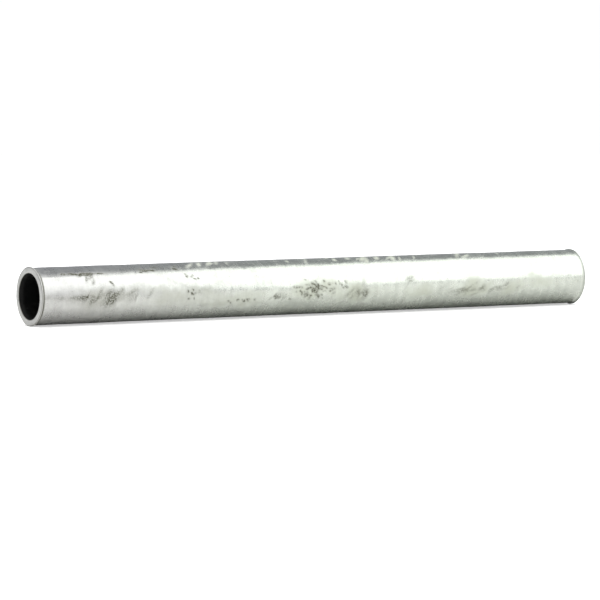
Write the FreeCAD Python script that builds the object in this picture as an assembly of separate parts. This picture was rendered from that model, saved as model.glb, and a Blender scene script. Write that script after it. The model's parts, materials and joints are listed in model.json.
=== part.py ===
import FreeCAD, Part
import math
import os

# A length of hot-dip galvanised steel pipe with plain, square-cut ends, in millimetres.
# The pipe lies along +X, from its near end at -X to its far end at +X, with +Z up.
# The origin is the middle of the pipe, on its axis.
# A strip is rolled into a tube and closed by a welded seam. The zinc then covers all of it:
# a wiped coat outside, a blown-clean coat in the bore, and a thick run-off lip over each end.
# Both ends of the bore are reamed, so the wall is thinner at its very mouth.

# Pipe
PIPE_LENGTH = 304.8            # over the zinc at both ends
STEEL_DIAMETER = 26.67         # outside of the bare steel
STEEL_WALL = 2.87
OUTER_EDGE_BREAK = 0.4         # bevel on the steel's outside corners
REAM_DEPTH = 1.6               # how far the reamer's taper runs into each end of the bore
REAM_RISE = 0.55               # how much it opens the bore's radius at the cut end

# Seam
SEAM_WIDTH = 1.6
SEAM_CLOCK_DEG = 125.0         # from +Z towards +Y, so low on the back of the pipe
BEAD_HEIGHT = 0.15             # how far the weld stands into the bore
BEAD_SETBACK = 3.0             # the bead is reamed away this far in from each end

# Zinc
COAT = 0.10                    # on the outside and in the bore
END_COAT = 0.35                # over each cut end, and the radius of the mouth's rounded corner
LIP_RISE = 0.22                # how far the lip stands proud of the outside coat
LIP_REACH = 1.8                # how far the lip runs back along the outside
LIP_ROUNDING = 0.5             # radius of the lip's outer corner
LIP_FADE = 0.25                # how softly the lip leaves its crown and meets the coat

# Worked out
STEEL_RADIUS = STEEL_DIAMETER / 2
STEEL_BORE_RADIUS = STEEL_RADIUS - STEEL_WALL
COAT_RADIUS = STEEL_RADIUS + COAT
BORE_RADIUS = STEEL_BORE_RADIUS - COAT
MOUTH_RADIUS = BORE_RADIUS + REAM_RISE
LIP_RADIUS = COAT_RADIUS + LIP_RISE
HALF_LENGTH = PIPE_LENGTH / 2
HALF_STEEL = HALF_LENGTH - END_COAT
AXIS = FreeCAD.Vector(1, 0, 0)
CENTRE = FreeCAD.Vector(0, 0, 0)


def at(x, radius):
    """A point of a turned outline, which is drawn above the axis."""
    return FreeCAD.Vector(x, 0, radius)


def line(start, end):
    return Part.LineSegment(start, end).toShape()


def rounding(start, middle, end):
    return Part.Arc(start, middle, end).toShape()


def turned(edges):
    """The solid that a closed outline makes when it turns about the pipe's axis."""
    return Part.Face(Part.Wire(edges)).revolve(CENTRE, AXIS, 360)


def turned_polygon(corners):
    """The same for a straight-sided outline, given by its corners."""
    ring = corners + corners[:1]
    return turned([line(start, end) for start, end in zip(ring, ring[1:])])


def rod(radius, half_length):
    """A solid cylinder on the axis, centred on the origin."""
    return Part.makeCylinder(radius, 2 * half_length, FreeCAD.Vector(-half_length, 0, 0), AXIS)


def tube(outer_radius, inner_radius, half_length):
    return rod(outer_radius, half_length).cut(rod(inner_radius, half_length))


def to_seam(shape):
    """Turns a shape made at the top of the pipe round to where the seam is."""
    turned_shape = shape.copy()
    turned_shape.rotate(CENTRE, AXIS, -SEAM_CLOCK_DEG)
    return turned_shape


def reamed_bore(radius):
    """The bore's outline at this radius, from its near mouth to its far mouth."""
    return [
        at(-HALF_STEEL, radius + REAM_RISE),
        at(-HALF_STEEL + REAM_DEPTH, radius),
        at(HALF_STEEL - REAM_DEPTH, radius),
        at(HALF_STEEL, radius + REAM_RISE),
    ]


def steel_blank():
    """The bare tube before its seam is cut out: bevelled outside and reamed inside."""
    outside = [
        at(HALF_STEEL, STEEL_RADIUS - OUTER_EDGE_BREAK),
        at(HALF_STEEL - OUTER_EDGE_BREAK, STEEL_RADIUS),
        at(-HALF_STEEL + OUTER_EDGE_BREAK, STEEL_RADIUS),
        at(-HALF_STEEL, STEEL_RADIUS - OUTER_EDGE_BREAK),
    ]
    return turned_polygon(reamed_bore(STEEL_BORE_RADIUS) + outside)


def seam_slot():
    """The straight-sided slot through the wall that the weld fills."""
    slot = Part.makeBox(
        PIPE_LENGTH,
        SEAM_WIDTH,
        STEEL_DIAMETER,
        FreeCAD.Vector(-HALF_LENGTH, -SEAM_WIDTH / 2, 0),
    )
    return to_seam(slot)


def bead(half_width, crown_radius, half_length):
    """A low rounded ridge along the bore, its crown at crown_radius from the axis."""
    root = math.sqrt(STEEL_BORE_RADIUS**2 - half_width**2)
    left = FreeCAD.Vector(-half_length, -half_width, root)
    right = FreeCAD.Vector(-half_length, half_width, root)
    wall = FreeCAD.Vector(-half_length, 0, STEEL_BORE_RADIUS)
    crown = FreeCAD.Vector(-half_length, 0, crown_radius)
    section = Part.Face(Part.Wire([rounding(left, wall, right), rounding(right, crown, left)]))
    return to_seam(section.extrude(FreeCAD.Vector(2 * half_length, 0, 0)))


def weld_bead():
    return bead(SEAM_WIDTH / 2, STEEL_BORE_RADIUS - BEAD_HEIGHT, HALF_STEEL - BEAD_SETBACK)


def steel_tube():
    return steel_blank().cut(seam_slot())


def seam_weld():
    return steel_blank().common(seam_slot()).fuse(weld_bead()).removeSplitter()


def zinc_outer_coat():
    return tube(COAT_RADIUS, STEEL_RADIUS, HALF_LENGTH - LIP_REACH)


def zinc_bore_coat():
    """The coat in the bore, which lines the mouths too and rises over the weld's bead."""
    coat = turned_polygon(reamed_bore(BORE_RADIUS) + reamed_bore(STEEL_BORE_RADIUS)[::-1])
    covered_bead = bead(
        SEAM_WIDTH / 2 + COAT,
        STEEL_BORE_RADIUS - BEAD_HEIGHT - COAT,
        HALF_STEEL - BEAD_SETBACK + COAT,
    )
    return coat.fuse(covered_bead).cut(weld_bead()).removeSplitter()


def zinc_rim():
    """The lip of zinc that wraps the near end, from the outside round to the mouth."""
    face = -HALF_LENGTH
    steel_face = -HALF_STEEL
    lip_end = face + LIP_REACH
    bend = 1 - math.sqrt(0.5)
    crown = at(face + LIP_ROUNDING, LIP_RADIUS)
    foot = at(lip_end, COAT_RADIUS)
    fade = Part.BezierCurve()
    fade.setPoles([
        crown,
        at(face + LIP_ROUNDING + LIP_FADE, LIP_RADIUS),
        at(lip_end - LIP_FADE, COAT_RADIUS),
        foot,
    ])
    outer_rounding = rounding(
        at(face, LIP_RADIUS - LIP_ROUNDING),
        at(face + bend * LIP_ROUNDING, LIP_RADIUS - bend * LIP_ROUNDING),
        crown,
    )
    mouth_rounding = rounding(
        at(steel_face, MOUTH_RADIUS),
        at(face + bend * END_COAT, MOUTH_RADIUS + bend * END_COAT),
        at(face, MOUTH_RADIUS + END_COAT),
    )
    against_steel = [
        foot,
        at(lip_end, STEEL_RADIUS),
        at(steel_face + OUTER_EDGE_BREAK, STEEL_RADIUS),
        at(steel_face, STEEL_RADIUS - OUTER_EDGE_BREAK),
        at(steel_face, MOUTH_RADIUS),
    ]
    edges = [outer_rounding, fade.toShape()]
    edges += [line(start, end) for start, end in zip(against_steel, against_steel[1:])]
    edges += [
        mouth_rounding,
        line(at(face, MOUTH_RADIUS + END_COAT), at(face, LIP_RADIUS - LIP_ROUNDING)),
    ]
    return turned(edges)


def at_far_end(shape):
    return shape.mirror(CENTRE, AXIS)


def single_solid(shape):
    """The one solid that a boolean's compound holds."""
    return shape.Solids[0]


NODES = {
    "steel_tube": steel_tube(),
    "seam_weld": seam_weld(),
    "zinc_outer_coat": zinc_outer_coat(),
    "zinc_bore_coat": zinc_bore_coat(),
    "zinc_near_rim": zinc_rim(),
    "zinc_far_rim": at_far_end(zinc_rim()),
}

os.makedirs("parts", exist_ok=True)
for name, shape in NODES.items():
    solid = single_solid(shape)
    solid.exportStep("parts/" + name + ".step")
    print(name, len(shape.Solids), "solid,", round(solid.Volume, 1), "mm3, valid", solid.isValid())
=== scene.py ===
import json
import math
import random
from collections import namedtuple

import bmesh
import bpy
import numpy as np
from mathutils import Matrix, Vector, noise


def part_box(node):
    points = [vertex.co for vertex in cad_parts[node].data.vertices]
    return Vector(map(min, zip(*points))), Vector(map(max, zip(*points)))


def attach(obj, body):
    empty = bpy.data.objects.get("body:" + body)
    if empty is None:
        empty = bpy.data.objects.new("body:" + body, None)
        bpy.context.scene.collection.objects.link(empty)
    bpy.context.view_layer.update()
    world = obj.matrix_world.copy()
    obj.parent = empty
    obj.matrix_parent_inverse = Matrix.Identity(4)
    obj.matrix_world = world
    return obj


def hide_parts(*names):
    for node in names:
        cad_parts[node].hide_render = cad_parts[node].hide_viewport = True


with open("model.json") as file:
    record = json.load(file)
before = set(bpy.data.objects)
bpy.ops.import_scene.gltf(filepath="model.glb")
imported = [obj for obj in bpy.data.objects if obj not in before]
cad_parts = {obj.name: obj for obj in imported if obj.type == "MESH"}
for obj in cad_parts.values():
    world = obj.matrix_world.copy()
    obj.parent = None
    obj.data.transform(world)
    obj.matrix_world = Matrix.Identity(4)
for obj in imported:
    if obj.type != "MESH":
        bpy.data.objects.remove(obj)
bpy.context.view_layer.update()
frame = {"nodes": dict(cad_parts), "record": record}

# A plain-ended galvanised pipe on a pale floor. Everything is in metres unless a name says mm.
# A clock angle runs round the pipe in degrees: 0 is the top, 90 the front (-Y), 180 the bottom.
# "Along" is a distance from the middle of the pipe, positive towards the far end.
# "Depth" is a distance in from whichever end is nearer.
MM = 0.001
BODY = "root"
SEED = 7
SEED_SHIFT = Vector((17.0, 5.0, 11.0))     # how far apart two seeds' noise patterns are taken

# Sizes read from the frame
MOUNTS = {mount["name"]: mount for mount in frame["record"]["mounts"]}
NEAR_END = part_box("zinc_near_rim")[0].x
FAR_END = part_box("zinc_far_rim")[1].x
LIP_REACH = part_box("zinc_near_rim")[1].x - NEAR_END
LIP_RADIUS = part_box("zinc_near_rim")[1].z
COAT_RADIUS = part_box("zinc_outer_coat")[1].z
STEEL_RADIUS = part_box("steel_tube")[1].z
END_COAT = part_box("steel_tube")[0].x - NEAR_END
COAT = COAT_RADIUS - STEEL_RADIUS
BORE_RADIUS = MOUNTS["bore"]["dims"]["r_mm"] * MM
REAM_DEPTH = (FAR_END - NEAR_END - MOUNTS["bore"]["dims"]["length_mm"] * MM) / 2 - END_COAT
REAM_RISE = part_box("zinc_bore_coat")[1].z - COAT - BORE_RADIUS
MOUTH_RADIUS = BORE_RADIUS + REAM_RISE
WELD_LOW, WELD_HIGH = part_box("seam_weld")
SEAM_CLOCK = math.degrees(math.atan2(-(WELD_LOW.y + WELD_HIGH.y), WELD_LOW.z + WELD_HIGH.z))

# How finely each piece is meshed: steps along the pipe and round it
OUTER_STEPS, OUTER_ROUND = 540, 176
BORE_STEPS, BORE_ROUND = 240, 128
REAM_STEPS = 6
RIM_ROUND = 320
MOUTH_STEPS, FACE_STEPS, CORNER_STEPS, SIDE_STEPS = 4, 8, 12, 14
SHARP_EDGE = math.radians(50)

# Relief of the zinc coats. A layer's features have a length along the pipe and a width round it.
THINNEST_COAT = 0.02 * MM
Layer = namedtuple("Layer", "height length_mm width_mm seed")
OUTER_LAYERS = [
    Layer(0.10 * MM, 16, 8, 1),        # slow unevenness left by the wiping ring
    Layer(0.030 * MM, 4, 3, 2),        # finer lumps
    Layer(0.012 * MM, 1.6, 30, 3),     # faint rings round the pipe
]
DROSS_COUNT = 90               # small hard grains frozen into the coat
DROSS_HEIGHT = (0.03 * MM, 0.09 * MM)
DROSS_MM = (0.5, 1.1)
RUN_COUNT = 24                 # long low runs where the zinc drained
RUN_HEIGHT = (0.02 * MM, 0.07 * MM)
RUN_LENGTH_MM = (10, 34)
RUN_WIDTH_MM = (0.8, 1.8)

BORE_LAYERS = [
    Layer(0.05 * MM, 14, 5, 4),
    Layer(0.03 * MM, 3, 2, 5),
]
BEAD_HEIGHT = 0.15 * MM
BEAD_HALF_WIDTH = 0.9 * MM
BEAD_SETBACK = 3.0 * MM
BEAD_LUMPS = Layer(0.35, 3, 20, 6)     # here the height is a share of the bead's own

# Lip over each end
LIP_ROUNDING = 0.5 * MM
STEEL_BEVEL = 0.4 * MM
LIP_FOOT = 0.85 * MM           # where the lip's height has run out, except over the top
LIP_SWELL = 0.20 * MM          # how much prouder the run-off is than its nominal radius
WANDER_MM = (6, 2)             # how the lip's height wanders round the end: widths of its features
WANDER_HEIGHTS = (0.12 * MM, 0.06 * MM)
LIP_DRIP = 0.06 * MM           # extra zinc that hung at the bottom
LOWEST_CLOCK = 180
DRIP_SPREAD_DEG = 28
FACE_LAYERS = [                # the face's unevenness, whose lengths are in the radius here
    Layer(0.06 * MM, 1.5, 4, 2),
    Layer(0.03 * MM, 0.5, 1.2, 3),
]
FACE_DEPTH = 1.2 * MM          # how far in from the end the face's unevenness fades out
NEAR_SEED, FAR_SEED = 20, 40

# Marks on the outside, as patches of specks scattered about a place. Places and spreads are in
# millimetres along the pipe and degrees round it. A speck's length and width are half sizes in
# mm, lean turns it clockwise, and strength is how much of the metal it hides.
Patch = namedtuple("Patch", "along clock spread turn count length width lean strength")
SOOT_PATCHES = [
    Patch(-134, 41, 8, 1, 12, 1.6, 0.6, 0, 1.4),      # dashes in front of the near crown
    Patch(-125, 53, 2, 6, 5, 0.6, 1.6, 15, 0.45),     # streaks down the bright band behind them
    Patch(-115, 66, 1, 3, 3, 0.5, 0.5, 0, 1.0),
    Patch(-113, 94, 6, 8, 24, 2.6, 0.9, -50, 0.34),   # the near smudge, its strokes leaning
    Patch(-135, 91, 7, 3, 12, 3.0, 1.0, 0, 0.22),     # a fainter one at the near lip
    Patch(-90, 37, 7, 3, 10, 1.6, 0.6, 0, 0.9),       # dashes further along the crown
    Patch(-73, 58, 3, 6, 9, 0.4, 0.4, 0, 1.0),        # separate specks in the bright band
    Patch(-72, 92, 2, 9, 9, 0.4, 0.6, 0, 0.7),        # a thin line of specks down the front
    Patch(-105, 88, 28, 2, 10, 16, 1.3, 0, 0.08),     # a faint dark streak along the near front, painted shade in the dim reflection just below the bright band
    Patch(-47, 110, 4, 2, 12, 0.5, 0.4, 0, 0.75),     # a row of small dashes, low down
    Patch(-26, 105, 2, 4, 10, 1.5, 0.6, -50, 0.45),   # a short diagonal cluster
    Patch(-6, 90, 5, 9, 50, 0.6, 0.5, 20, 0.75),      # the main cluster
    Patch(-6, 90, 2, 5, 12, 0.7, 0.5, 0, 0.8),        # its dense middle
    Patch(4, 86, 4, 5, 14, 0.4, 0.4, 0, 0.8),         # loose specks behind it
    Patch(-8, 106, 5, 5, 16, 0.8, 0.6, -40, 0.5),     # and below it
    Patch(20, 106, 4, 6, 16, 2.4, 0.8, -55, 0.28),    # diagonal smudges
    Patch(49, 82, 1, 3, 4, 1.6, 0.5, -45, 0.32),      # a tick
    Patch(80, 108, 7, 5, 16, 2.2, 0.7, -30, 0.27),    # mottled smears towards the far end
    Patch(97, 104, 7, 5, 18, 1.8, 0.7, -30, 0.27),
]
HAZE_PATCHES = [
    Patch(-105, 92, 30, 7, 16, 9, 2.5, 0, 0.25),      # a long pale film down the near front
    Patch(-120, 97, 8, 5, 7, 4, 3, -30, 0.35),        # dull films round the smudges
    Patch(-72, 100, 8, 8, 4, 4, 2.5, 0, 0.30),
    Patch(-45, 110, 12, 6, 8, 6, 3, 0, 0.36),
    Patch(-6, 95, 7, 9, 9, 4, 3.5, -30, 0.40),
    Patch(19, 105, 6, 8, 8, 4, 3, -50, 0.45),
    Patch(50, 100, 12, 8, 6, 6, 3, 0, 0.30),
    Patch(88, 105, 12, 6, 10, 5, 3, -30, 0.45),
    Patch(125, 98, 12, 8, 5, 6, 3, 0, 0.30),
    Patch(-60, 18, 9, 4, 7, 0.9, 2.6, 25, 0.7),       # pale drips over the crown
    Patch(35, 18, 18, 4, 16, 0.9, 2.8, 25, 0.7),
    Patch(90, 15, 12, 3, 5, 0.9, 2.6, 25, 0.55),
]
HIDDEN_CLOCKS = (180, 300)     # where the other side's patches go: the same kinds, in random places
SPECK_SIZES = (0.6, 1.4)       # a speck's size and strength, as shares of its patch's
SPECK_STRENGTHS = (0.7, 1.2)
SPECK_LEAN_SPREAD = 15
LIP_STAIN = 0.6                # how much of a mark carries on over the side of the lip
NEAR_GRIME, FAR_GRIME = 0.85, 0.1    # how dark the painted shade at the foot of each lip is
GRIME_FADE = 0.5 * MM

# Camera: the lens and its place, given by direction and distance from the middle of the pipe
LENS_MM = 228.0
SENSOR_MM = 36.0
CAMERA_AZIMUTH = -30.60
CAMERA_ELEVATION = 3.88
CAMERA_DISTANCE = 1.842
AIM_ASIDE = -5.3 * MM
AIM_UP = -6.8 * MM
FAR_CLIP = 20

# Studio
FLOOR_RADIUS = 2.6
FLOOR_SIDES = 96
FLOOR_GREYS = (0.575, 0.595)
FLOOR_FIBRE_MM = 330
FLOOR_ROUGHNESS = 0.85
FLOOR_GLOW = 0.45              # lifts the shadow that the camera sees, as on a light table
SKY_LIGHT = (1.02, 1.02, 1.02, 1.0)     # the white tent that lights the floor and fills the view
ROOM_LIGHT = (0.35, 0.36, 0.385, 1.0)   # the dim room that the metal mirrors
MIDDLE = (0.0, 0.0, 0.0)
OVERHEAD_PLACE = (0.0, 0.0, 2.0)
OVERHEAD_STRENGTH = 2.6
OVERHEAD_SPREAD_DEG = 90
Softbox = namedtuple("Softbox", "name place aim width height brightness")
SOFTBOXES = [
    Softbox("key_softbox", (1.0, -0.5, 0.8), (0.3, 0.13, 0.0), 2.0, 1.9, 1.42),
    Softbox("fill_softbox", (-0.8, 0.1, 0.9), MIDDLE, 2.2, 1.5, 0.9),
]


# --- Shape -----------------------------------------------------------------------------------


Mark = namedtuple("Mark", "along clock length width lean strength")


def blob(along, clock, mark):
    """How much of a mark covers each point of the outside: its strength in the middle, 0 away."""
    across = np.radians((clock - mark.clock + 180) % 360 - 180) * COAT_RADIUS
    past = along - mark.along * MM
    lean = math.radians(mark.lean)
    u = (past * math.cos(lean) + across * math.sin(lean)) / (mark.length * MM)
    v = (across * math.cos(lean) - past * math.sin(lean)) / (mark.width * MM)
    return mark.strength * np.exp(-(u * u + v * v))


def smooth_noise(along, clock, radius, length_mm, width_mm, seed):
    """Perlin noise over the pipe's surface, which joins up all the way round."""
    turn = np.radians(clock)
    width = width_mm * MM
    points = np.stack(
        [along / (length_mm * MM), np.sin(turn) * radius / width, np.cos(turn) * radius / width],
        axis=-1,
    )
    shift = SEED_SHIFT * seed
    flat = [noise.noise(Vector(point) + shift) for point in points.reshape(-1, 3)]
    return np.array(flat).reshape(along.shape)


def scattered(count, lengths, widths, heights, rng):
    """Low lumps in random places all over the pipe, lying along it."""
    return [
        Mark(
            rng.uniform(NEAR_END / MM, FAR_END / MM),
            rng.uniform(0, 360),
            rng.uniform(*lengths),
            rng.uniform(*widths),
            0,
            rng.uniform(*heights),
        )
        for _ in range(count)
    ]


def specks(patch, rng):
    """The patch's own specks, each a little different."""
    return [
        Mark(
            rng.gauss(patch.along, patch.spread),
            rng.gauss(patch.clock, patch.turn),
            patch.length * rng.uniform(*SPECK_SIZES),
            patch.width * rng.uniform(*SPECK_SIZES),
            rng.gauss(patch.lean, SPECK_LEAN_SPREAD),
            patch.strength * rng.uniform(*SPECK_STRENGTHS),
        )
        for _ in range(patch.count)
    ]


def moved_to_hidden_side(patch, rng):
    """A patch of the same kind, in a random place low on the back."""
    along = rng.uniform(NEAR_END / MM, FAR_END / MM)
    return patch._replace(along=along, clock=rng.uniform(*HIDDEN_CLOCKS))


def marks_from(patches, layer):
    """The front's marks, and as many more of the same kinds on the hidden side."""
    marks = []
    for number, patch in enumerate(patches):
        rng = random.Random(f"{layer} {number}")
        marks += specks(patch, rng)
        marks += specks(moved_to_hidden_side(patch, rng), rng)
    return marks


LUMP_RANDOM = random.Random(SEED)
LUMPS = scattered(DROSS_COUNT, DROSS_MM, DROSS_MM, DROSS_HEIGHT, LUMP_RANDOM)
LUMPS += scattered(RUN_COUNT, RUN_LENGTH_MM, RUN_WIDTH_MM, RUN_HEIGHT, LUMP_RANDOM)
STAINS = {"soot": marks_from(SOOT_PATCHES, "soot"), "haze": marks_from(HAZE_PATCHES, "haze")}


def relief(layers, along, clock, radius, seed=0):
    """The layers' noise, added up."""
    return sum(
        layer.height
        * smooth_noise(along, clock, radius, layer.length_mm, layer.width_mm, layer.seed + seed)
        for layer in layers
    )


def outer_relief(along, clock):
    """How far the outside coat stands above its nominal radius."""
    height = relief(OUTER_LAYERS, along, clock, COAT_RADIUS)
    height += sum(blob(along, clock, lump) for lump in LUMPS)
    return np.maximum(height, THINNEST_COAT - COAT)


def bead_height(along, clock):
    """The weld's low ridge, which stops short of each end."""
    across = np.radians((clock - SEAM_CLOCK + 180) % 360 - 180) * BORE_RADIUS
    ridge = np.clip(1 - (across / BEAD_HALF_WIDTH) ** 2, 0, 1)
    inside = np.minimum(along - NEAR_END, FAR_END - along) > END_COAT + BEAD_SETBACK
    return BEAD_HEIGHT * ridge * inside


def bore_relief(along, clock):
    """How far the bore's coat stands in from its nominal radius."""
    lumpy = 1 + relief([BEAD_LUMPS], along, clock, BORE_RADIUS)
    return relief(BORE_LAYERS, along, clock, BORE_RADIUS) + bead_height(along, clock) * lumpy


def reamed(along):
    """How much the reamer opened the bore's radius at each place along it."""
    depth = np.minimum(along - NEAR_END, FAR_END - along) - END_COAT
    return REAM_RISE * np.clip(1 - depth / REAM_DEPTH, 0, 1)


def grid(alongs, round_steps):
    """Matching arrays of along and clock, one row for each ring."""
    clocks = np.arange(round_steps) * 360 / round_steps
    return np.meshgrid(np.array(alongs), clocks, indexing="ij")


def closed_piece(name, along, radius, clock):
    """A closed mesh whose rings follow one another and join back to the first."""
    rings, steps = along.shape
    turn = np.radians(clock)
    points = np.stack([along, -radius * np.sin(turn), radius * np.cos(turn)], axis=-1)
    ring, step = np.meshgrid(np.arange(rings), np.arange(steps), indexing="ij")
    next_ring = (ring + 1) % rings
    next_step = (step + 1) % steps
    corners = [ring * steps + step, next_ring * steps + step]
    corners += [next_ring * steps + next_step, ring * steps + next_step]
    faces = np.stack(corners, axis=-1).reshape(-1, 4)
    mesh = bpy.data.meshes.new(name)
    mesh.from_pydata(points.reshape(-1, 3).tolist(), [], faces.tolist())
    shell = bmesh.new()
    shell.from_mesh(mesh)
    bmesh.ops.recalc_face_normals(shell, faces=shell.faces)
    shell.to_mesh(mesh)
    shell.free()
    mesh.polygons.foreach_set("use_smooth", [True] * len(mesh.polygons))
    mesh.set_sharp_from_angle(angle=SHARP_EDGE)
    piece = bpy.data.objects.new(name, mesh)
    bpy.context.collection.objects.link(piece)
    return piece


def store(piece, layer, values):
    """Keeps one number for each of the mesh's points, for the material to read."""
    attribute = piece.data.attributes.new(layer, "FLOAT", "POINT")
    attribute.data.foreach_set("value", values.reshape(-1).astype(np.float32))


def stain(piece, along, clock, share):
    """Stores how much each kind of mark hides, where marks that overlap add up as thin films do."""
    for layer, marks in STAINS.items():
        clean = np.ones(along.shape)
        for mark in marks:
            clean *= 1 - np.minimum(blob(along, clock, mark), 1)
        store(piece, layer, (1 - clean) * share)


def outer_skin():
    """The wiped coat between the two lips: a relief outside, plain against the steel inside."""
    first, last = NEAR_END + LIP_REACH, FAR_END - LIP_REACH
    outside = np.linspace(first, last, OUTER_STEPS + 1)
    inside = np.array([last, first])
    along, clock = grid(np.concatenate([outside, inside]), OUTER_ROUND)
    radius = np.full(along.shape, STEEL_RADIUS)
    top = slice(0, len(outside))
    radius[top] = COAT_RADIUS + outer_relief(along[top], clock[top])
    piece = closed_piece("outer_zinc_coat", along, radius, clock)
    stain(piece, along, clock, 1.0)
    # The coat between the lips gets none of the lips' painted shade.
    store(piece, "crease", np.zeros(along.shape))
    return piece


def bore_skin():
    """The rougher coat in the bore, from mouth to mouth, with the weld's bead showing through."""
    first, last = NEAR_END + END_COAT, FAR_END - END_COAT
    near_taper = np.linspace(first, first + REAM_DEPTH, REAM_STEPS, endpoint=False)
    straight = np.linspace(first + REAM_DEPTH, last - REAM_DEPTH, BORE_STEPS + 1)
    far_taper = np.linspace(last, last - REAM_DEPTH, REAM_STEPS, endpoint=False)[::-1]
    inside = np.concatenate([near_taper, straight, far_taper])
    outside = np.array([last, last - REAM_DEPTH, first + REAM_DEPTH, first])
    along, clock = grid(np.concatenate([inside, outside]), BORE_ROUND)
    radius = BORE_RADIUS + COAT + reamed(along)
    wall = slice(0, len(inside))
    coat = COAT + bore_relief(along[wall], clock[wall])
    radius[wall] -= np.maximum(coat, THINNEST_COAT)
    return closed_piece("bore_zinc_coat", along, radius, clock)


def rounded(centre_x, centre_r, size, start, end, steps):
    """Points of a rounding in the pipe's section, from one angle to another in degrees."""
    turns = np.radians(np.linspace(start, end, steps + 1))
    return [(centre_x + size * math.cos(t), centre_r + size * math.sin(t)) for t in turns]


def lip_section():
    """The near lip's section as (depth, radius): the part that shows, and the part that doesn't."""
    mouth = rounded(END_COAT, MOUTH_RADIUS + END_COAT, END_COAT, 270, 180, MOUTH_STEPS)
    corner = rounded(LIP_ROUNDING, LIP_RADIUS - LIP_ROUNDING, LIP_ROUNDING, 180, 90, CORNER_STEPS)
    face = [(0.0, radius) for radius in np.linspace(mouth[-1][1], corner[0][1], FACE_STEPS + 1)]
    side = [(depth, LIP_RADIUS) for depth in np.linspace(LIP_ROUNDING, LIP_REACH, SIDE_STEPS + 1)]
    shown = mouth + face[1:-1] + corner + side[1:]
    hidden = [
        (LIP_REACH, STEEL_RADIUS),
        (END_COAT + STEEL_BEVEL, STEEL_RADIUS),
        (END_COAT, STEEL_RADIUS - STEEL_BEVEL),
        (END_COAT, MOUTH_RADIUS + COAT),
    ]
    return np.array(shown), np.array(hidden)


def lip_height(depth, clock):
    """How much of its height the lip has left at each depth. It runs furthest back at the top."""
    top_share = np.clip(np.cos(np.radians(clock)), 0, 1) ** 2
    foot = LIP_FOOT + (LIP_REACH - LIP_FOOT) * top_share
    share = np.clip((depth - LIP_ROUNDING) / (foot - LIP_ROUNDING), 0, 1)
    return (1 + np.cos(math.pi * share)) / 2


def lip_swell(clock, seed):
    """How much prouder the run-off stands at each place round the end."""
    swell = LIP_SWELL + LIP_DRIP * np.exp(-(((clock - LOWEST_CLOCK) / DRIP_SPREAD_DEG) ** 2))
    for number, (height, width) in enumerate(zip(WANDER_HEIGHTS, WANDER_MM)):
        swell += height * smooth_noise(np.zeros(clock.shape), clock, LIP_RADIUS, 1, width, seed + number)
    return swell


def lip_dirt(depth, base, proud, on_outside, grime):
    """Painted shade: darker at the lip's foot outside, and just inside the mouth."""
    foot_grime = grime * (1 - proud) * np.clip((LIP_REACH - depth) / GRIME_FADE, 0, 1)
    in_mouth = base < MOUTH_RADIUS + END_COAT
    return on_outside * foot_grime + in_mouth * np.sqrt(np.clip(depth / END_COAT, 0, 1))


def rim(name, end, inward, grime, seed):
    """The run-off lip over one end, seen from outside, with a plain back against the steel."""
    shown, hidden = lip_section()
    section = np.concatenate([shown, hidden])
    depth, clock = grid(section[:, 0], RIM_ROUND)
    base, _ = grid(section[:, 1], RIM_ROUND)
    along = end + inward * depth
    is_shown = (np.arange(len(section)) < len(shown))[:, None]
    side_radius = COAT_RADIUS + (LIP_RADIUS - COAT_RADIUS) * lip_height(depth, clock)
    base = np.where(is_shown & (depth >= LIP_ROUNDING), side_radius, base)
    on_outside = is_shown & (base >= COAT_RADIUS)
    proud = np.clip((base - COAT_RADIUS) / (LIP_RADIUS - COAT_RADIUS), 0, 1) * is_shown
    radius = base + proud * lip_swell(clock, seed)
    radius += np.where(on_outside, (1 - proud) * outer_relief(along, clock), 0)
    face_share = np.clip(1 - depth / FACE_DEPTH, 0, 1) * is_shown
    along = along + inward * face_share * relief(FACE_LAYERS, base, clock, base, seed)
    piece = closed_piece(name, along, radius, clock)
    past_corner = on_outside * np.clip(depth / LIP_ROUNDING, 0, 1)
    stain(piece, along, clock, past_corner * (LIP_STAIN * proud + 1 - proud))
    # Painted shade: the lip's foot and the inside of its mouth are stored darker.
    store(piece, "crease", lip_dirt(depth, base, proud, on_outside, grime) * is_shown)
    return piece


# --- Materials -------------------------------------------------------------------------------


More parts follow.
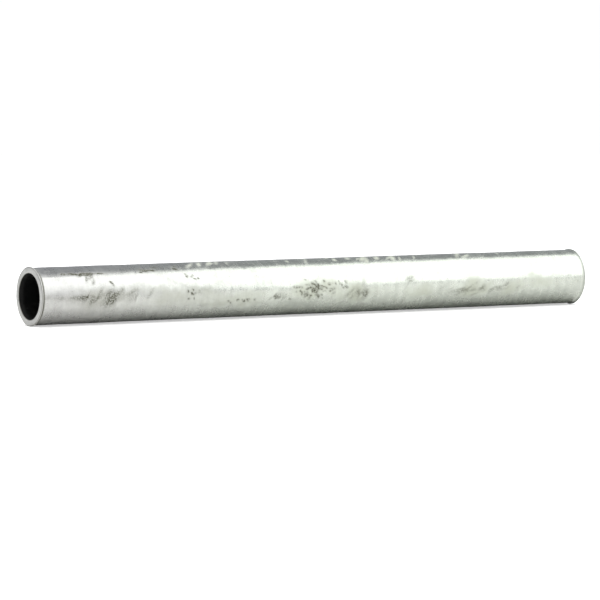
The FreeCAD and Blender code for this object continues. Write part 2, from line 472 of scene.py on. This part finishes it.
class Recipe:
    """A material and short calls that add nodes to it."""

    def __init__(self, name):
        self.material = bpy.data.materials.new(name)
        self.material.use_nodes = True
        self.nodes = self.material.node_tree.nodes
        self.links = self.material.node_tree.links
        self.shader = self.nodes["Principled BSDF"]
        self.place = self.nodes.new("ShaderNodeTexCoord").outputs["Object"]

    def feed(self, value, socket):
        if isinstance(value, bpy.types.NodeSocket):
            self.links.new(value, socket)
        else:
            socket.default_value = value

    def in_features(self, length_mm, width_mm):
        """The place on the object, counted in features of this size along and across the pipe."""
        node = self.nodes.new("ShaderNodeMapping")
        self.links.new(self.place, node.inputs["Vector"])
        across = 1 / (width_mm * MM)
        node.inputs["Scale"].default_value = (1 / (length_mm * MM), across, across)
        return node.outputs["Vector"]

    def noise(self, length_mm, width_mm, detail=3.0, roughness=0.5):
        node = self.nodes.new("ShaderNodeTexNoise")
        self.links.new(self.in_features(length_mm, width_mm), node.inputs["Vector"])
        node.inputs["Scale"].default_value = 1.0
        node.inputs["Detail"].default_value = detail
        node.inputs["Roughness"].default_value = roughness
        return node.outputs["Fac"]

    def place_along(self):
        split = self.nodes.new("ShaderNodeSeparateXYZ")
        self.links.new(self.place, split.inputs["Vector"])
        return split.outputs["X"]

    def maths(self, operation, first, second=0.0, third=0.0):
        node = self.nodes.new("ShaderNodeMath")
        node.operation = operation
        for value, socket in zip((first, second, third), node.inputs):
            self.feed(value, socket)
        return node.outputs["Value"]

    def weighted(self, *pairs):
        """The sum of each value times its weight."""
        total = 0.0
        for value, weight in pairs:
            total = self.maths("MULTIPLY_ADD", value, weight, total)
        return total

    def span(self, value, low, high, new_low=0.0, new_high=1.0):
        """Stretches the range low to high over new_low to new_high, and holds it there."""
        node = self.nodes.new("ShaderNodeMapRange")
        node.clamp = True
        for name, number in (
            ("Value", value),
            ("From Min", low),
            ("From Max", high),
            ("To Min", new_low),
            ("To Max", new_high),
        ):
            self.feed(number, node.inputs[name])
        return node.outputs["Result"]

    def layer(self, name):
        node = self.nodes.new("ShaderNodeAttribute")
        node.attribute_name = name
        return node.outputs["Fac"]

    def blend(self, share, below, above, mode="MIX"):
        node = self.nodes.new("ShaderNodeMix")
        node.data_type = "RGBA"
        node.blend_type = mode
        sockets = [socket for socket in node.inputs if socket.enabled]
        for value, socket in zip((share, below, above), sockets):
            self.feed(value, socket)
        return next(socket for socket in node.outputs if socket.enabled)

    def bump(self, height, distance):
        node = self.nodes.new("ShaderNodeBump")
        node.inputs["Distance"].default_value = distance
        self.links.new(height, node.inputs["Height"])
        return node.outputs["Normal"]

    def finish(self, colour, metallic, roughness, normal):
        self.feed(colour, self.shader.inputs["Base Color"])
        self.feed(metallic, self.shader.inputs["Metallic"])
        self.feed(roughness, self.shader.inputs["Roughness"])
        self.links.new(normal, self.shader.inputs["Normal"])
        return self.material


def grey(value, red=1.0, blue=1.0):
    return (value * red, value, value * blue, 1.0)


# The zinc is duller at the near end, and lighter and greener past the end of the ageing span
AGEING_SPAN = (-140 * MM, -20 * MM)
NEAR_TINT, FAR_TINT = (0.96, 0.96, 0.92, 1.0), (0.98, 1.03, 0.92, 1.0)
NEAR_CHALK, FAR_CHALK = grey(0.50, 1.0, 0.92), grey(0.58, 0.95, 0.83)
# The soot colour, which also colours the lips' painted shade.
SOOT = grey(0.070, 1.00, 0.58)
SOOT_COVER = 0.95              # how much of the colour the thickest dirt and painted shade hide
CHALK_COVER = 0.85
FLECK_STRENGTH = 0.45
LEAST_METALLIC = 0.15


def zinc(name, light, dark, smoothest, roughest, bump_height):
    """Hot-dip zinc: cloudy metal, faint wiping rings, chalky films and broken dark specks."""
    r = Recipe(name)
    clouds = r.noise(11, 7, detail=5, roughness=0.62)
    mottle = r.noise(2.6, 2.2, detail=4, roughness=0.6)
    bands = r.noise(2.4, 26, detail=2)
    rings = r.noise(0.8, 16, detail=3, roughness=0.6)
    grains = r.noise(0.6, 0.6, detail=3, roughness=0.6)

    tone = r.weighted((clouds, 0.36), (mottle, 0.22), (bands, 0.20), (rings, 0.12), (grains, 0.10))
    metal = r.blend(r.span(tone, low=0.38, high=0.62), grey(dark), grey(light))
    ageing = r.span(r.place_along(), *AGEING_SPAN)
    metal = r.blend(1.0, metal, r.blend(ageing, NEAR_TINT, FAR_TINT), "MULTIPLY")

    patches = r.noise(5, 4, detail=5, roughness=0.68)
    film = r.weighted((r.layer("haze"), 0.8), (patches, 1.0))
    film_share = r.span(film, low=0.58, high=1.12)
    chalk = r.blend(ageing, NEAR_CHALK, FAR_CHALK)
    coated = r.blend(r.maths("MULTIPLY", film_share, CHALK_COVER), metal, chalk)

    grit = r.noise(0.7, 0.7, detail=3, roughness=0.65)
    grit = r.span(grit, low=0.40, high=0.56, new_low=0.30)
    # The soot layer also holds one faint painted-shade streak below the near bright band.
    soot_share = r.span(r.maths("MULTIPLY", r.layer("soot"), grit), low=0.0, high=0.65)
    flecks = r.span(r.noise(1.0, 0.8, detail=2), low=0.70, high=0.78)
    dirt = r.maths("MAXIMUM", soot_share, r.maths("MULTIPLY", flecks, FLECK_STRENGTH))
    # The lips' painted shade, at each lip's foot and just inside its mouth, darkens the colour here as
    # the dirt does.
    dirt = r.maths("MAXIMUM", dirt, r.layer("crease"))
    colour = r.blend(r.maths("MULTIPLY", dirt, SOOT_COVER), coated, SOOT)

    wear = r.weighted((clouds, 0.6), (bands, 0.25), (mottle, 0.15))
    worn = r.span(wear, low=0.36, high=0.64, new_low=smoothest, new_high=roughest)
    roughness = r.weighted((film_share, 0.20), (dirt, 0.25), (ageing, -0.05), (worn, 1.0))
    metallic = r.maths("SUBTRACT", 1.0, r.weighted((film_share, 0.55), (dirt, 0.35)))
    metallic = r.maths("MAXIMUM", metallic, LEAST_METALLIC)

    height = r.weighted((mottle, 1.0), (bands, 0.8), (rings, 0.35), (grains, 0.3), (dirt, -0.3))
    return r.finish(colour, metallic, roughness, r.bump(height, bump_height))


def outer_zinc():
    return zinc(
        "outer_zinc",
        light=0.78,
        dark=0.56,
        smoothest=0.24,
        roughest=0.37,
        bump_height=0.05 * MM,
    )


def rim_zinc():
    return zinc(
        "rim_zinc",
        light=0.80,
        dark=0.50,
        smoothest=0.34,
        roughest=0.50,
        bump_height=0.05 * MM,
    )


def bore_zinc():
    """Dull, unwiped zinc coloured nearly black as painted shade down the bore, with grey-brown dust in
    its hollows.
    """
    r = Recipe("bore_zinc")
    clouds = r.noise(8, 5, detail=5, roughness=0.65)
    grains = r.noise(0.8, 0.8, detail=3, roughness=0.6)
    dust = r.span(r.noise(16, 6, detail=4, roughness=0.6), low=0.45, high=0.70)
    # Painted shade: the zinc down the bore is coloured nearly black for the bore's darkness.
    metal = r.blend(clouds, grey(0.010), grey(0.035, 1.0, 0.95))
    colour = r.blend(r.maths("MULTIPLY", dust, 0.7), metal, grey(0.010, 1.3, 0.7))
    roughness = r.span(clouds, low=0.3, high=0.7, new_low=0.45, new_high=0.65)
    metallic = r.weighted((dust, -0.5), (1.0, 0.9))
    height = r.weighted((clouds, 0.6), (grains, 1.0))
    return r.finish(colour, metallic, roughness, r.bump(height, 0.02 * MM))


def bare_steel():
    """Rolled and pickled steel, drawn out along the pipe."""
    r = Recipe("bare_steel")
    drawn = r.noise(33, 0.7, detail=4, roughness=0.6)
    clouds = r.noise(16, 11, detail=4)
    colour = r.blend(r.weighted((drawn, 0.5), (clouds, 0.5)), grey(0.30), grey(0.52, 1.0, 1.02))
    roughness = r.span(drawn, low=0.3, high=0.7, new_low=0.32, new_high=0.5)
    return r.finish(colour, 1.0, roughness, r.bump(drawn, 0.01 * MM))


def weld_steel():
    """Weld metal with the heat's ripples across it and a straw to blue tint."""
    r = Recipe("weld_steel")
    ripples = r.noise(1.1, 5, detail=2)
    heat = r.noise(25, 3.3, detail=3)
    tint = r.blend(heat, (0.34, 0.27, 0.16, 1.0), (0.19, 0.23, 0.32, 1.0))
    colour = r.blend(ripples, tint, grey(0.40))
    roughness = r.span(ripples, low=0.3, high=0.7, new_low=0.3, new_high=0.48)
    return r.finish(colour, 1.0, roughness, r.bump(ripples, 0.03 * MM))


def pale_floor():
    """Nearly even matt grey, which glows a little for the camera."""
    r = Recipe("pale_floor")
    fibre = r.noise(FLOOR_FIBRE_MM, FLOOR_FIBRE_MM, detail=2)
    colour = r.blend(fibre, grey(FLOOR_GREYS[0]), grey(FLOOR_GREYS[1]))
    rays = r.nodes.new("ShaderNodeLightPath")
    r.shader.inputs["Emission Color"].default_value = grey(1.0)
    glow = r.maths("MULTIPLY", rays.outputs["Is Camera Ray"], FLOOR_GLOW)
    r.feed(glow, r.shader.inputs["Emission Strength"])
    return r.finish(colour, 0.0, FLOOR_ROUGHNESS, r.bump(fibre, 0.01 * MM))


# --- Object ----------------------------------------------------------------------------------


def dress(piece, material):
    piece.data.materials.clear()
    piece.data.materials.append(material)


def build_pipe():
    """Puts the detailed zinc over the CAD steel, and gives every piece its material."""
    outer, outer_material = outer_skin(), outer_zinc()
    bore, bore_material = bore_skin(), bore_zinc()
    lip_material = rim_zinc()
    near_lip = rim("near_zinc_lip", NEAR_END, 1, NEAR_GRIME, NEAR_SEED)
    far_lip = rim("far_zinc_lip", FAR_END, -1, FAR_GRIME, FAR_SEED)
    zinc_pieces = [
        (outer, outer_material, "zinc_outer_coat", "outer_zinc"),
        (bore, bore_material, "zinc_bore_coat", "bore_zinc"),
        (near_lip, lip_material, "zinc_near_rim", "rim_zinc"),
        (far_lip, lip_material, "zinc_far_rim", "rim_zinc"),
    ]
    for piece, material, node, slot in zinc_pieces:
        dress(piece, material)
        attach(piece, BODY)
        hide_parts(node)
    dress(frame["nodes"]["steel_tube"], bare_steel())
    dress(frame["nodes"]["seam_weld"], weld_steel())
    return [piece for piece, _, _, _ in zinc_pieces]


# --- Studio ----------------------------------------------------------------------------------


def build_floor(height):
    """A round pale floor that the pipe lies on."""
    mesh = bpy.data.meshes.new("floor")
    disc = bmesh.new()
    bmesh.ops.create_circle(disc, cap_ends=True, radius=FLOOR_RADIUS, segments=FLOOR_SIDES)
    disc.to_mesh(mesh)
    disc.free()
    floor = bpy.data.objects.new("floor", mesh)
    bpy.context.collection.objects.link(floor)
    floor.location.z = height
    dress(floor, pale_floor())


def build_world():
    """A white tent all round, except that the metal mirrors a dim room."""
    world = bpy.data.worlds.new("studio")
    world.use_nodes = True
    nodes, links = world.node_tree.nodes, world.node_tree.links
    rays = nodes.new("ShaderNodeLightPath")
    mix = nodes.new("ShaderNodeMix")
    mix.data_type = "RGBA"
    share, sky, room = [socket for socket in mix.inputs if socket.enabled]
    links.new(rays.outputs["Is Glossy Ray"], share)
    sky.default_value = SKY_LIGHT
    room.default_value = ROOM_LIGHT
    colour = next(socket for socket in mix.outputs if socket.enabled)
    links.new(colour, nodes["Background"].inputs["Color"])
    bpy.context.scene.world = world


def place_lamp(name, data, place, aim):
    lamp = bpy.data.objects.new(name, data)
    bpy.context.collection.objects.link(lamp)
    lamp.location = place
    lamp.rotation_euler = (Vector(place) - Vector(aim)).to_track_quat("Z", "Y").to_euler()
    lamp.visible_camera = False
    return lamp


def build_lights():
    """Big softboxes that only the metal mirrors, and soft overhead light that it doesn't."""
    for box in SOFTBOXES:
        data = bpy.data.lights.new(box.name, "AREA")
        data.shape = "RECTANGLE"
        data.size = box.width
        data.size_y = box.height
        data.energy = box.brightness * math.pi * box.width * box.height
        place_lamp(box.name, data, box.place, box.aim).visible_diffuse = False
    overhead = bpy.data.lights.new("overhead", "SUN")
    overhead.angle = math.radians(OVERHEAD_SPREAD_DEG)
    overhead.energy = OVERHEAD_STRENGTH
    place_lamp("overhead", overhead, OVERHEAD_PLACE, MIDDLE).visible_glossy = False


def build_camera():
    """Looks along the given direction, aimed a little to one side of the pipe's middle."""
    azimuth = math.radians(CAMERA_AZIMUTH)
    elevation = math.radians(CAMERA_ELEVATION)
    back = Vector((
        math.sin(azimuth) * math.cos(elevation),
        -math.cos(azimuth) * math.cos(elevation),
        math.sin(elevation),
    ))
    right = Vector((math.cos(azimuth), math.sin(azimuth), 0))
    up = back.cross(right)
    data = bpy.data.cameras.new("camera")
    data.lens = LENS_MM
    data.sensor_width = SENSOR_MM
    data.clip_end = FAR_CLIP
    camera = bpy.data.objects.new("camera", data)
    bpy.context.collection.objects.link(camera)
    camera.location = right * AIM_ASIDE + up * AIM_UP + back * CAMERA_DISTANCE
    camera.rotation_euler = back.to_track_quat("Z", "Y").to_euler()
    bpy.context.scene.camera = camera


build_camera()
zinc_pieces = build_pipe()
floor_height = min(vertex.co.z for piece in zinc_pieces for vertex in piece.data.vertices)
build_floor(floor_height)
build_world()
build_lights()
bpy.context.scene.view_settings.view_transform = "Standard"
